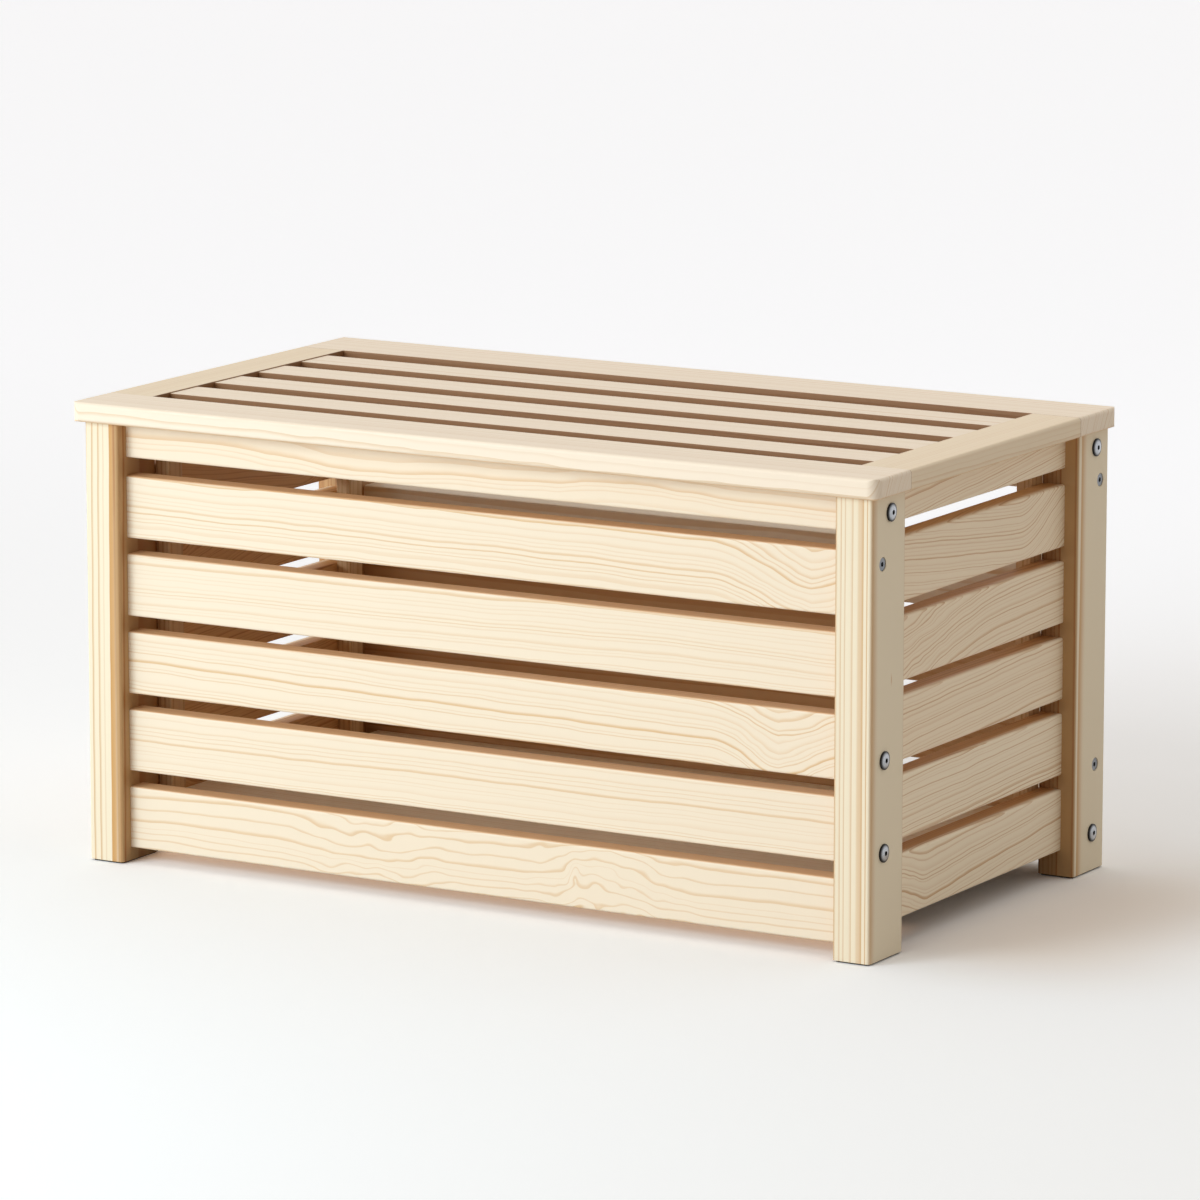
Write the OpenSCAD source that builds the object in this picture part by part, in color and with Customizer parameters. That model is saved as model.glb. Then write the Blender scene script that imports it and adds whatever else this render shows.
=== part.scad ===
// Slatted pine storage trunk on four legs, with a slatted lid on two stop hinges.
// Sizes are millimetres. +X runs along the trunk to the right, +Y to its back, +Z up.
// The origin is on the floor, under the middle of the box that holds the closed trunk.

/* [Trunk] */
// Length over the outer faces of the legs
trunk_length = 800; // [600:10:1100]
// Depth over the outer faces of the legs
trunk_depth = 442; // [380:2:600]

/* [Legs] */
// Leg size along the trunk's length
leg_width = 36; // [30:1:50]
// Leg size along the trunk's depth
leg_depth = 60; // [54:1:80]
// Rounding of the legs' upright edges
leg_round = 3; // [1:0.5:6]
// Thickness of the dark pad under each leg
pad_thickness = 1.5; // [1:0.5:5]
// Distance from the leg's faces to the edge of its pad
pad_inset = 2; // [1:0.5:6]

/* [Slats] */
// Height of each front and back slat
slat_height = 56.5; // [48:0.5:80]
// Height of each end slat
end_slat_height = 56; // [48:0.5:60]
// Open gap between one front or back slat and the next, and below the end rails
slat_gap = 14.5; // [8:0.5:25]
// Open gap below the front rail
rail_gap = 16.5; // [8:0.5:25]
// Thickness of every slat
slat_thickness = 22; // [17:0.5:24]
// Distance from the legs' outer faces in to the slats' outer faces
slat_recess = 13; // [6:0.5:16]
// Rounding of the slats' long edges
slat_round = 2; // [1:0.5:5]
// Height of the lowest front slat above the floor
floor_gap = 13; // [12:1:60]
// Height of the back slats above the level of the front slats
back_lift = 3.5; // [0:0.5:10]
// Height of the lowest end slat above the level of the lowest front slat
end_lift = 11.5; // [0:0.5:30]

/* [Rails] */
// Height of the front rail
rail_height = 32; // [28:1:50]
// Height of the end rails
end_rail_height = 31; // [26:0.5:50]
// Thickness of the front rail and of the hinge rail
rail_thickness = 36; // [34:1:44]
// Height of the back rail that carries the hinges
hinge_rail_height = 56.5; // [48:0.5:64]

/* [Battens and bottom] */
// Width of each corner batten along the trunk's depth
batten_width = 22; // [18:1:50]
// Thickness of each corner batten
batten_thickness = 15; // [12:1:24]
// Distance from a batten's ends to the end panel's lower and upper edges
batten_short = 4; // [0:1:12]
// Height of the two ledgers that carry the bottom
ledger_height = 26; // [20:1:40]
// Thickness of the two ledgers
ledger_thickness = 22; // [18:1:26]
// Height of the ledgers above the lower edge of the lowest front slat
ledger_lift = 4; // [0:1:12]
// Thickness of the bottom panel
panel_thickness = 9; // [6:0.5:18]
// Rounding of the battens' and ledgers' long edges
inner_round = 1.5; // [0.5:0.5:3]

/* [Lid] */
// Thickness of the lid's frame
lid_thickness = 18; // [16:0.5:26]
// Thickness of the lid's slats, centred in the frame
lid_slat_thickness = 16; // [12:0.5:16]
// How far the lid stands past the legs at the front and at both ends
lid_overhang = 9; // [4:0.5:20]
// Width of the lid's front rail
lid_rail_width = 61; // [50:1:80]
// Width of the lid's back rail, which carries the hinges
lid_back_width = 74; // [60:1:90]
// Width of the lid's end rails
lid_end_width = 48; // [44:1:80]
// Width of each lid slat
lid_slat_width = 45; // [20:1:50]
// Rounding of the lid's corners, seen from above
lid_corner = 10; // [6:1:20]
// Rounding of the lid's outer edges
lid_round = 3; // [1:0.5:5]
// Rounding of the edges beside the lid's slots
lid_ease = 0.5; // [0.5:0.5:3]

/* [Hinges] */
// Distance between the middles of the two hinges
hinge_spacing = 500; // [260:10:500]
// Length of each hinge
hinge_length = 64; // [60:1:90]
// Width of each leaf, from the trunk's back face inwards
leaf_width = 30; // [24:1:33]
// Thickness of the leaves
leaf_thickness = 2; // [1.5:0.25:2.5]
// Outer radius of the knuckles
knuckle_radius = 4; // [3.5:0.25:6]
// Radius of the hinge pin
pin_radius = 2; // [1.5:0.25:2.5]
// Height of the fixed leaf's flange on the hinge rail's back
flange_height = 22; // [18:1:30]
// Angle at which the stop lug meets the flange
stop_angle = 100; // [95:1:110]
// Distance from the hinge pin's axis to the tip of the stop lug
stop_reach = 8; // [7:0.5:12]

/* [Fasteners] */
// Diameter of the frame bolts
bolt_diameter = 6; // [5:0.5:7]
// Diameter of the frame bolts' domed heads
bolt_head = 16; // [13:0.5:18]
// Height of the frame bolts' domed heads
bolt_head_height = 2.6; // [2:0.1:4]
// Across-flats size of the bolt heads' hexagon socket
bolt_socket = 4; // [3:0.5:5]
// Length of a frame bolt beyond the leg
bolt_grip = 40; // [36:1:60]
// Diameter of the barrel nuts
nut_diameter = 10; // [9:0.5:12]
// Length of the barrel nuts
nut_length = 12; // [10:0.5:12]
// Distance from a board's end to the middle of its barrel nut
nut_setback = 28; // [20:1:30]
// Diameter of the small frame screws
screw_diameter = 4; // [3:0.5:5]
// Diameter of the small frame screws' heads
screw_head = 11; // [9:0.5:12]
// Height of the small frame screws' heads
screw_head_height = 3; // [2:0.5:4]
// Depth of a small screw's head below the leg's face
screw_sink = 0.6; // [0:0.1:2]
// Length of a small frame screw beyond the leg
screw_grip = 35; // [20:1:50]
// Diameter of the dowels
dowel_diameter = 8; // [6:0.5:8]
// Length of the dowels
dowel_length = 38; // [30:1:40]
// Diameter of the countersunk wood screws
wood_screw = 3.5; // [3:0.5:4.5]
// Diameter of the wood screws' countersunk heads
wood_screw_head = 7; // [6:0.5:8]
// Length of a wood screw inside the second board
wood_screw_bite = 10; // [6:0.5:12]

/* [Fastener places] */
// Distance from the leg's outer face to the bolts in slats
bolt_inset = 24; // [22:0.5:25]
// Distance from the leg's outer face to the bolts in the front rail
rail_bolt_inset = 33; // [30:0.5:38]
// Distance from the leg's outer face to the bolts in the hinge rail
hinge_rail_bolt_inset = 25; // [24:0.5:26]
// Distance from the leg's outer face to the screws in slats
screw_inset = 19; // [18:0.5:22]
// Distance from the leg's outer face to the screws in the hinge rail
hinge_rail_screw_inset = 16; // [10:0.5:20]
// Distance from the leg's outer face to the dowels in the front rail
rail_dowel_inset = 21; // [18:0.5:22]
// Distance from the leg's outer face to the dowels in the hinge rail
hinge_rail_dowel_inset = 10; // [7:0.5:12]
// Distance from one ledger screw to the next
ledger_screw_spacing = 150; // [60:5:180]
// Distance from the trunk's back face to the screws in the hinge leaves
leaf_screw_inset = 16.5; // [12:0.5:18]
// Distance from the top of the legs down to the screws in the hinge flanges
flange_screw_drop = 13.5; // [12:0.5:14]
// Height of the low front bolts and low back screws above the lower edge of their slat
bolt_edge = 10; // [8.5:0.5:14]
// Distance of the other slat bolts below the dowel in the middle of their slat
bolt_drop = 9; // [8:0.5:12]
// Distance of the screws from the near edge of their board
screw_edge = 10; // [8:0.5:14]
// Distance of the batten screws below the middle of their board, clear of its dowels
batten_screw_drop = 9; // [7:0.5:11]

/* [Clearances] */
// Radial clearance of a bolt or screw in its hole
bore_clearance = 0.3; // [0.1:0.05:0.5]
// Radial clearance of a dowel or barrel nut in its hole
dowel_clearance = 0.1; // [0.05:0.05:0.3]
// Clearance of a hinge leaf in its mortise, and at blind ends
seat_clearance = 0.2; // [0.1:0.05:0.5]
// Radial clearance of the hinge pin
pin_clearance = 0.05; // [0.02:0.01:0.1]
// Clearance between hinge parts that pass each other
pass_clearance = 0.5; // [0.3:0.1:1]
// Clearance round the loose bottom panel
panel_clearance = 1; // [0.5:0.5:3]

/* [Hidden] */
$fn = 48;
cut = 1;

// Colours
pine = "BurlyWood";
pale_pine = "Wheat";
plywood = "Tan";
zinc = "Silver";
steel = "Gray";
beech = "Peru";
felt = "DimGray";

// Counts that the names above fix
slat_count = 5;
back_slat_count = 4;
lid_slat_count = 4;

// Levels: the front boards' heights add up to the legs' height, and the end slats share what is left
slat_pitch = slat_height + slat_gap;
slats_top = floor_gap + (slat_count - 1) * slat_pitch + slat_height;
leg_top = slats_top + rail_gap + rail_height;
end_floor_gap = floor_gap + end_lift;
end_slats_top = leg_top - end_rail_height - slat_gap;
end_slat_pitch = (end_slats_top - end_slat_height - end_floor_gap) / (slat_count - 1);
lid_top = leg_top + lid_thickness;
lid_middle = leg_top + lid_thickness / 2;

// Hinge places: the pin lies behind the back face, level with the lid's underside
axis_out = knuckle_radius + pass_clearance;
lug_half = axis_out - leaf_thickness - seat_clearance;
lug_rise = stop_angle - 90;
lug_root = sqrt(knuckle_radius * knuckle_radius - lug_half * lug_half) - pass_clearance / 2;
tab_stop = (knuckle_radius + pin_radius) / 2 - pass_clearance / 2;
hinge_reach = axis_out + stop_reach * cos(lug_rise) + lug_half * sin(lug_rise);

// Plan: the origin lies midway between the lid's front edge and the stop lugs' tips
y_front = lid_overhang - (lid_overhang + trunk_depth + hinge_reach) / 2;
y_back = y_front + trunk_depth;
half_length = trunk_length / 2;
half_inside = half_length - leg_width;
axis_y = y_back + axis_out;

// Insets of the boards from the legs' outer faces, outer face first
slat_insets = [slat_recess, slat_recess + slat_thickness];
front_rail_insets = [slat_recess, slat_recess + rail_thickness];
hinge_rail_insets = [0, rail_thickness];
ledger_insets = [slat_insets[1], slat_insets[1] + ledger_thickness];
batten_insets = [leg_depth, leg_depth + batten_width];
slat_middle = slat_recess + slat_thickness / 2;
batten_face = half_length - slat_insets[1] - batten_thickness;

// Heights of the boards, lower edge first
function slat_z(i) = [floor_gap + (i - 1) * slat_pitch, floor_gap + (i - 1) * slat_pitch + slat_height];
function back_slat_z(i) = [slat_z(i)[0] + back_lift, slat_z(i)[1] + back_lift];
function end_slat_z(i) = [
    end_floor_gap + (i - 1) * end_slat_pitch,
    end_floor_gap + (i - 1) * end_slat_pitch + end_slat_height
];
rail_z = [leg_top - rail_height, leg_top];
end_rail_z = [leg_top - end_rail_height, leg_top];
hinge_rail_z = [leg_top - hinge_rail_height, leg_top];
ledger_z = [floor_gap + ledger_lift, floor_gap + ledger_lift + ledger_height];
panel_z = [ledger_z[1], ledger_z[1] + panel_thickness];
batten_z = [end_floor_gap + batten_short, leg_top - batten_short];
end_board_levels = concat([for (i = [1:slat_count]) end_slat_z(i)], [end_rail_z]);

// Fasteners of the front and back panels, each as [inset, height]
rail_middle = middle(rail_z);
front_bolts = [
    [rail_bolt_inset, rail_middle],
    [bolt_inset, middle(slat_z(3)) - bolt_drop],
    [bolt_inset, slat_z(2)[0] + bolt_edge]
];
back_bolts = [
    [hinge_rail_bolt_inset, rail_middle],
    [bolt_inset, middle(back_slat_z(1)) - bolt_drop]
];
front_screws = [[screw_inset, slat_z(5)[1] - screw_edge]];
back_screws = [
    [hinge_rail_screw_inset, hinge_rail_z[0] + screw_edge],
    [screw_inset, back_slat_z(2)[0] + bolt_edge]
];
front_dowels = concat(
    [[rail_dowel_inset, rail_middle]],
    [for (i = [1:slat_count]) [slat_middle, middle(slat_z(i))]]
);
back_dowels = concat(
    [[hinge_rail_dowel_inset, rail_middle]],
    [for (i = [1:back_slat_count]) [slat_middle, middle(back_slat_z(i))]]
);
ledger_screw_x = [for (k = [-1.5:1:1.5]) k * ledger_screw_spacing];

// Lid plan
lid_x = half_length + lid_overhang;
lid_y = [y_front - lid_overhang, y_back];
lid_field = [lid_y[0] + lid_rail_width, lid_y[1] - lid_back_width];
lid_slat_x = lid_x - lid_end_width;
lid_slot = (lid_field[1] - lid_field[0] - lid_slat_count * lid_slat_width) / (lid_slat_count + 1);
lid_slat_sink = (lid_thickness - lid_slat_thickness) / 2;
function lid_slat_y(i) = lid_field[0] + i * lid_slot + (i - 1) * lid_slat_width;
lid_corner_dowel_x = [for (k = [-1, 1]) lid_x - lid_end_width / 2 + k * lid_end_width / 4];

// Hinge lengthways: outer knuckles on the fixed leaf, the middle one on the lid leaf
knuckle_third = hinge_length / 3;
hinge_screw_x = [-hinge_length / 3, 0, hinge_length / 3];
flange_screw_x = [-hinge_length / 6, hinge_length / 6];
hinge_x = hinge_spacing / 2;
pin_head_height = 1.5;
pin_head_rim = 1;
pin_head_radius = pin_radius + pin_head_rim;
hinge_screw_length = leaf_thickness + 2 * wood_screw_bite;
lid_screw_length = leaf_thickness + wood_screw_bite;

// Screw heads: a cone of 45 degrees with a cross recess, and the small frame screws' sockets
wood_screw_cone = (wood_screw_head - wood_screw) / 2;
recess_length = wood_screw_head / 2;
recess_width = 0.8;
recess_depth = 1.2;
screw_socket_floor = 1;
screw_socket_depth = screw_head_height - screw_socket_floor;

function middle(z) = (z[0] + z[1]) / 2;
function within(h, z) = h > z[0] && h < z[1];
function face_y(sy, inset) = sy < 0 ? y_front + inset : y_back - inset;
function inset_span(sy, i) = sy < 0 ? [y_front + i[0], y_front + i[1]] : [y_back - i[1], y_back - i[0]];
function side_span(sx, i) = sx < 0
    ? [-half_length + i[0], -half_length + i[1]]
    : [half_length - i[1], half_length - i[0]];
function hinge_span(s, room) = [
    s * hinge_x - hinge_length / 2 - room,
    s * hinge_x + hinge_length / 2 + room
];
function panel_bolts(sy) = sy < 0 ? front_bolts : back_bolts;
function panel_screws(sy) = sy < 0 ? front_screws : back_screws;
function dowel_places(sy) = sy < 0 ? front_dowels : back_dowels;

// Board section: width w, height h, edges rounded r0 at the near side and r1 at the far side
module section(w, h, r0, r1) {
    translate([r0, 0]) square([w - r0 - r1, h]);
    translate([0, r0]) square([r0, h - 2 * r0]);
    translate([w - r1, r1]) square([r1, h - 2 * r1]);
    for (y = [r0, h - r0]) translate([r0, y]) circle(r0);
    for (y = [r1, h - r1]) translate([w - r1, y]) circle(r1);
}

// Boards between two corners, with the long edges rounded
module board_x(x, y, z, r0, r1) {
    translate([x[0], y[0], z[0]]) rotate([90, 0, 90])
        linear_extrude(x[1] - x[0]) section(y[1] - y[0], z[1] - z[0], r0, r1);
}
module board_y(x, y, z, r0, r1) {
    translate([x[0], y[1], z[0]]) rotate([90, 0, 0])
        linear_extrude(y[1] - y[0]) section(x[1] - x[0], z[1] - z[0], r0, r1);
}
module board_z(x, y, z, r) {
    translate([x[0], y[0], z[0]])
        linear_extrude(z[1] - z[0]) section(x[1] - x[0], y[1] - y[0], r, r);
}
module block(x, y, z) {
    translate([x[0], y[0], z[0]]) cube([x[1] - x[0], y[1] - y[0], z[1] - z[0]]);
}

// Places whose own +Z points in from a leg's outer end face, or in from the front or back
module in_from_end(sx, y, z) {
    translate([sx * half_length, y, z]) rotate([0, -90 * sx, 0]) children();
}
module in_from_face(sy, x, inset, z) {
    translate([x, face_y(sy, inset), z]) rotate([90 * sy, 0, 0]) children();
}
module out_to_face(sy, x, inset, z) {
    translate([x, face_y(sy, inset), z]) rotate([-90 * sy, 0, 0]) children();
}
module drill(d, from, to) {
    translate([0, 0, from]) cylinder(d = d, h = to - from);
}

// Frame bolt: domed head with a hexagon socket, and a plain shank
module frame_bolt() {
    rim = bolt_head_height / 2;
    dome = bolt_head_height - rim;
    dome_radius = (bolt_head * bolt_head / 4 + dome * dome) / (2 * dome);
    difference() {
        union() {
            translate([0, 0, -rim]) cylinder(d = bolt_head, h = rim);
            intersection() {
                translate([0, 0, dome_radius - bolt_head_height]) sphere(dome_radius);
                translate([0, 0, -bolt_head_height]) cylinder(d = bolt_head, h = dome);
            }
            cylinder(d = bolt_diameter, h = leg_width + bolt_grip);
        }
        translate([0, 0, -bolt_head_height - cut])
            cylinder(d = bolt_socket / cos(30), h = bolt_head_height + cut, $fn = 6);
    }
}

// Small frame screw: flat head with a hexagon socket, sunk into the leg
module frame_screw() {
    translate([0, 0, screw_sink]) difference() {
        union() {
            cylinder(d = screw_head, h = screw_head_height);
            cylinder(d = screw_diameter, h = leg_width + screw_grip - screw_sink);
        }
        translate([0, 0, -cut])
            cylinder(d = bolt_socket / cos(30), h = screw_socket_depth + cut, $fn = 6);
    }
}

// Countersunk wood screw with a cross recess, its head's top at the origin
module wood_screw_solid(length) {
    difference() {
        union() {
            cylinder(d1 = wood_screw_head, d2 = wood_screw, h = wood_screw_cone);
            cylinder(d = wood_screw, h = length);
        }
        for (a = [0, 90]) rotate(a) translate([-recess_length / 2, -recess_width / 2, -cut])
            cube([recess_length, recess_width, cut + recess_depth]);
    }
}
module wood_screw_bore(length) {
    widen = 2 * bore_clearance;
    cylinder(d1 = wood_screw_head + widen, d2 = wood_screw + widen, h = wood_screw_cone);
    drill(wood_screw + widen, 0, length + seat_clearance);
    drill(wood_screw_head + widen, -cut, 0);
}

// Holes for the bolts, barrel nuts, screws and dowels in one end of a front or back board
module board_end_bores(sx, sy, insets, z) {
    for (b = panel_bolts(sy)) if (within(b[1], z)) {
        in_from_end(sx, face_y(sy, b[0]), b[1])
            drill(bolt_diameter + 2 * bore_clearance, leg_width - cut, leg_width + bolt_grip + cut);
        in_from_face(sy, sx * (half_inside - nut_setback), b[0], b[1])
            drill(nut_diameter + 2 * dowel_clearance, -nut_length / 2 - seat_clearance,
                  insets[1] - b[0] + cut);
    }
    for (s = panel_screws(sy)) if (within(s[1], z))
        in_from_end(sx, face_y(sy, s[0]), s[1])
            drill(screw_diameter + 2 * bore_clearance, leg_width - cut, leg_width + screw_grip + cut);
    for (d = dowel_places(sy)) if (within(d[1], z))
        in_from_end(sx, face_y(sy, d[0]), d[1])
            drill(dowel_diameter + 2 * dowel_clearance, leg_width - cut,
                  leg_width + dowel_length / 2 + seat_clearance);
}

// Front and back boards run between the legs
module panel_board(sy, insets, z) {
    difference() {
        board_x([-half_inside, half_inside], inset_span(sy, insets), z, slat_round, slat_round);
        for (sx = [-1, 1]) board_end_bores(sx, sy, insets, z);
    }
}

// Holes in a leg
module leg_bores(sx, sy) {
    for (b = panel_bolts(sy)) in_from_end(sx, face_y(sy, b[0]), b[1])
        drill(bolt_diameter + 2 * bore_clearance, -cut, leg_width + cut);
    for (s = panel_screws(sy)) in_from_end(sx, face_y(sy, s[0]), s[1]) {
        drill(screw_diameter + 2 * bore_clearance, -cut, leg_width + cut);
        drill(screw_head + 4 * bore_clearance, -cut, screw_sink + screw_head_height);
    }
    for (d = dowel_places(sy)) in_from_end(sx, face_y(sy, d[0]), d[1])
        drill(dowel_diameter + 2 * dowel_clearance, leg_width - dowel_length / 2 - seat_clearance,
              leg_width + cut);
    for (z = end_board_levels) out_to_face(sy, sx * (half_length - slat_middle), leg_depth, middle(z))
        drill(dowel_diameter + 2 * dowel_clearance, -cut, dowel_length / 2 + seat_clearance);
}

module leg(sx, sy) {
    color(pale_pine) difference() {
        board_z(side_span(sx, [0, leg_width]), inset_span(sy, [0, leg_depth]),
                [pad_thickness, leg_top], leg_round);
        leg_bores(sx, sy);
    }
}

module foot_pads() {
    color(felt) for (sx = [-1, 1], sy = [-1, 1])
        board_z(side_span(sx, [pad_inset, leg_width - pad_inset]),
                inset_span(sy, [pad_inset, leg_depth - pad_inset]), [0, pad_thickness], leg_round);
}

module front_rail() {
    color(pine) panel_board(-1, front_rail_insets, rail_z);
}
module front_slat(i) {
    color(pine) panel_board(-1, slat_insets, slat_z(i));
}
module back_slat(i) {
    color(pine) panel_board(1, slat_insets, back_slat_z(i));
}

// Back rail, flush with the legs, with a mortise on its top edge for each fixed leaf
module hinge_rail() {
    color(pine) difference() {
        panel_board(1, hinge_rail_insets, hinge_rail_z);
        for (s = [-1, 1]) {
            block(hinge_span(s, seat_clearance), [y_back - leaf_width - seat_clearance, y_back + cut],
                  [leg_top - leaf_thickness - seat_clearance, leg_top + cut]);
            fixed_screw_places(s) wood_screw_bore(hinge_screw_length);
        }
    }
}

// End boards run between the front and back legs and are screwed to the corner battens
module end_board(sx, z) {
    color(pine) difference() {
        board_y(side_span(sx, slat_insets), inset_span(-1, [leg_depth, trunk_depth - leg_depth]), z,
                slat_round, slat_round);
        for (sy = [-1, 1]) {
            in_from_face(sy, sx * (half_length - slat_middle), leg_depth, middle(z))
                drill(dowel_diameter + 2 * dowel_clearance, -cut, dowel_length / 2 + seat_clearance);
            batten_screw_place(sx, sy, z) wood_screw_bore(batten_thickness + wood_screw_bite);
        }
    }
}

module batten_screw_place(sx, sy, z) {
    translate([sx * batten_face, face_y(sy, middle(batten_insets)), middle(z) - batten_screw_drop])
        rotate([0, 90 * sx, 0]) children();
}
module batten(sx, sy) {
    color(pine) difference() {
        board_z(side_span(sx, [slat_insets[1], slat_insets[1] + batten_thickness]),
                inset_span(sy, batten_insets), batten_z, inner_round);
        for (z = end_board_levels)
            batten_screw_place(sx, sy, z) wood_screw_bore(batten_thickness + wood_screw_bite);
    }
}

// Ledgers are screwed to the lowest front and back slats and carry the loose bottom panel
module ledger_screw_place(sy, x) {
    out_to_face(sy, x, ledger_insets[1], middle(ledger_z)) children();
}
module ledger(sy) {
    color(pine) difference() {
        board_x([-half_inside + seat_clearance, half_inside - seat_clearance], inset_span(sy, ledger_insets),
                ledger_z, inner_round, inner_round);
        for (x = ledger_screw_x) ledger_screw_place(sy, x) wood_screw_bore(ledger_thickness + wood_screw_bite);
    }
}
module lowest_slat(sy, z) {
    difference() {
        panel_board(sy, slat_insets, z);
        for (x = ledger_screw_x) ledger_screw_place(sy, x) wood_screw_bore(ledger_thickness + wood_screw_bite);
    }
}
module front_slat_1() {
    color(pine) lowest_slat(-1, slat_z(1));
}
module back_slat_1() {
    color(pine) lowest_slat(1, back_slat_z(1));
}

module bottom_panel() {
    main_x = batten_face - panel_clearance;
    main_y = inset_span(-1, [slat_insets[1] + panel_clearance, trunk_depth - slat_insets[1] - panel_clearance]);
    tongue_x = min(half_length - slat_insets[1], half_inside) - panel_clearance;
    tongue_inset = batten_insets[1] + panel_clearance;
    tongue_y = inset_span(-1, [tongue_inset, trunk_depth - tongue_inset]);
    color(plywood) translate([0, 0, panel_z[0]]) linear_extrude(panel_thickness) {
        translate([-main_x, main_y[0]]) square([2 * main_x, main_y[1] - main_y[0]]);
        translate([-tongue_x, tongue_y[0]]) square([2 * tongue_x, tongue_y[1] - tongue_y[0]]);
    }
}

module frame_bolts() {
    color(zinc) for (sx = [-1, 1], sy = [-1, 1], b = panel_bolts(sy))
        in_from_end(sx, face_y(sy, b[0]), b[1]) frame_bolt();
}
module barrel_nuts() {
    color(steel) for (sx = [-1, 1], sy = [-1, 1], b = panel_bolts(sy)) difference() {
        in_from_face(sy, sx * (half_inside - nut_setback), b[0], b[1])
            drill(nut_diameter, -nut_length / 2, nut_length / 2);
        in_from_end(sx, face_y(sy, b[0]), b[1])
            drill(bolt_diameter + 2 * dowel_clearance, leg_width, leg_width + nut_setback + nut_diameter);
    }
}
module frame_screws() {
    color(zinc) for (sx = [-1, 1], sy = [-1, 1], s = panel_screws(sy))
        in_from_end(sx, face_y(sy, s[0]), s[1]) frame_screw();
}
module panel_dowels() {
    color(beech) for (sx = [-1, 1], sy = [-1, 1], d = dowel_places(sy))
        in_from_end(sx, face_y(sy, d[0]), d[1])
            drill(dowel_diameter, leg_width - dowel_length / 2, leg_width + dowel_length / 2);
}
module end_dowels() {
    color(beech) for (sx = [-1, 1], sy = [-1, 1], z = end_board_levels)
        in_from_face(sy, sx * (half_length - slat_middle), leg_depth, middle(z))
            drill(dowel_diameter, -dowel_length / 2, dowel_length / 2);
}
module batten_screws() {
    color(zinc) for (sx = [-1, 1], sy = [-1, 1], z = end_board_levels)
        batten_screw_place(sx, sy, z) wood_screw_solid(batten_thickness + wood_screw_bite);
}
module ledger_screws() {
    color(zinc) for (sy = [-1, 1], x = ledger_screw_x)
        ledger_screw_place(sy, x) wood_screw_solid(ledger_thickness + wood_screw_bite);
}

// Lid outline: rounded corners in plan, and eased edges along both directions
module lid_blank() {
    translate([-lid_x, lid_y[0], leg_top]) linear_extrude(lid_thickness)
        section(2 * lid_x, lid_y[1] - lid_y[0], lid_corner, lid_corner);
}
module lid_end_ease(y) {
    board_y([-lid_x, lid_x], [y[0] - cut, y[1] + cut], [leg_top, lid_top], lid_round, lid_round);
}
module lid_corner_dowel_places(sx, y) {
    for (x = lid_corner_dowel_x) translate([sx * x, y, lid_middle]) rotate([90, 0, 0]) children();
}
module lid_slat_dowel_place(sx, i) {
    translate([sx * lid_slat_x, lid_slat_y(i) + lid_slat_width / 2, lid_middle])
        rotate([0, 90 * sx, 0]) children();
}
module lid_dowel_bore() {
    reach = dowel_length / 2 + seat_clearance;
    drill(dowel_diameter + 2 * dowel_clearance, -reach, reach);
}
module lid_long_rail(y, r0, r1, joint_y) {
    difference() {
        intersection() {
            board_x([-lid_x, lid_x], y, [leg_top, lid_top], r0, r1);
            lid_end_ease(y);
            lid_blank();
        }
        for (sx = [-1, 1]) lid_corner_dowel_places(sx, joint_y) lid_dowel_bore();
    }
}
module lid_front_rail() {
    color(pale_pine) lid_long_rail([lid_y[0], lid_field[0]], lid_round, lid_ease, lid_field[0]);
}
// The lid's back rail has a mortise in its underside for each lid leaf
module lid_back_rail() {
    color(pale_pine) difference() {
        lid_long_rail([lid_field[1], lid_y[1]], lid_ease, lid_round, lid_field[1]);
        for (s = [-1, 1]) {
            block(hinge_span(s, seat_clearance), [y_back - leaf_width - seat_clearance, y_back + cut],
                  [leg_top - cut, leg_top + leaf_thickness + 2 * seat_clearance]);
            lid_screw_places(s) wood_screw_bore(lid_screw_length);
        }
    }
}
module lid_end_rail(sx) {
    x = sx < 0 ? [-lid_x, -lid_slat_x] : [lid_slat_x, lid_x];
    outer = sx < 0 ? lid_round : lid_ease;
    inner = sx < 0 ? lid_ease : lid_round;
    color(pale_pine) difference() {
        board_y(x, lid_field, [leg_top, lid_top], outer, inner);
        for (y = lid_field) lid_corner_dowel_places(sx, y) lid_dowel_bore();
        for (i = [1:lid_slat_count]) lid_slat_dowel_place(sx, i) lid_dowel_bore();
    }
}
module lid_slat(i) {
    y = lid_slat_y(i);
    color(pine) difference() {
        board_x([-lid_slat_x, lid_slat_x], [y, y + lid_slat_width],
                [leg_top + lid_slat_sink, lid_top - lid_slat_sink], lid_ease, lid_ease);
        for (sx = [-1, 1]) lid_slat_dowel_place(sx, i) lid_dowel_bore();
    }
}
module lid_dowels() {
    half = dowel_length / 2;
    color(beech) for (sx = [-1, 1]) {
        for (y = lid_field) lid_corner_dowel_places(sx, y) drill(dowel_diameter, -half, half);
        for (i = [1:lid_slat_count]) lid_slat_dowel_place(sx, i) drill(dowel_diameter, -half, half);
    }
}

// Hinge parts, each for the hinge on side s
module knuckle(x) {
    translate([x[0], axis_y, leg_top]) rotate([0, 90, 0]) cylinder(r = knuckle_radius, h = x[1] - x[0]);
}
module pin_bore(s) {
    translate([s * hinge_x - hinge_length, axis_y, leg_top]) rotate([0, 90, 0])
        cylinder(r = pin_radius + pin_clearance, h = 2 * hinge_length);
}
module fixed_screw_places(s) {
    for (x = hinge_screw_x) translate([s * hinge_x + x, y_back - leaf_screw_inset, leg_top - seat_clearance])
        rotate([180, 0, 0]) children();
    for (x = flange_screw_x)
        translate([s * hinge_x + x, y_back + leaf_thickness, leg_top - flange_screw_drop])
            rotate([90, 0, 0]) children();
}
module lid_screw_places(s) {
    for (x = hinge_screw_x) translate([s * hinge_x + x, y_back - leaf_screw_inset, leg_top + seat_clearance])
        children();
}
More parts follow.
